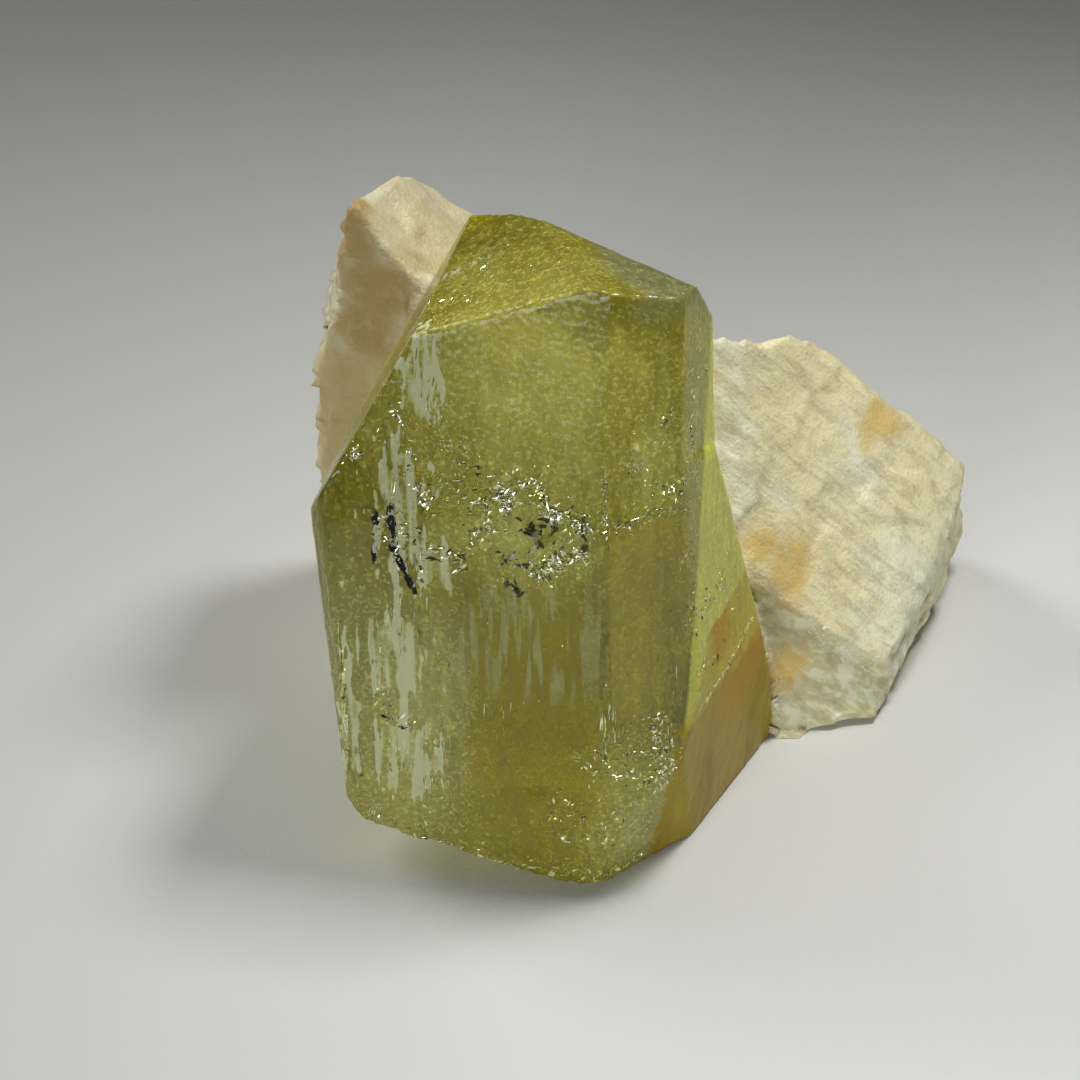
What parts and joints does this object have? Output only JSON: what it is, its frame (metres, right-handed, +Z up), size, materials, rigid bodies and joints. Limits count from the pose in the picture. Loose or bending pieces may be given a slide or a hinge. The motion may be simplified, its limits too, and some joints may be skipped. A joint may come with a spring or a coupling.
{
  "type": "brazilianite crystal on albite",
  "caption": "Upright yellow-green prismatic crystal with a roof-shaped top, grown on a rough pale feldspar slab and blade, flat underneath.",
  "frame": {"origin": "middle of the bounding box, on the surface that the specimen stands on", "axes": "+Z up, -Y the crystal's front, +X towards the rock slab on its right"},
  "size_m": [0.0358, 0.0298, 0.0322],
  "materials": {
    "brazilianite": "translucent yellow-green, glassy faces, inner fractures and frosted patches",
    "albite": "cream to pinkish feldspar with orange-brown stains, sugary broken surface"
  },
  "bodies": {
    "root": {"brazilianite_crystal": "brazilianite", "albite_matrix": "albite"}
  },
  "joints": []
}
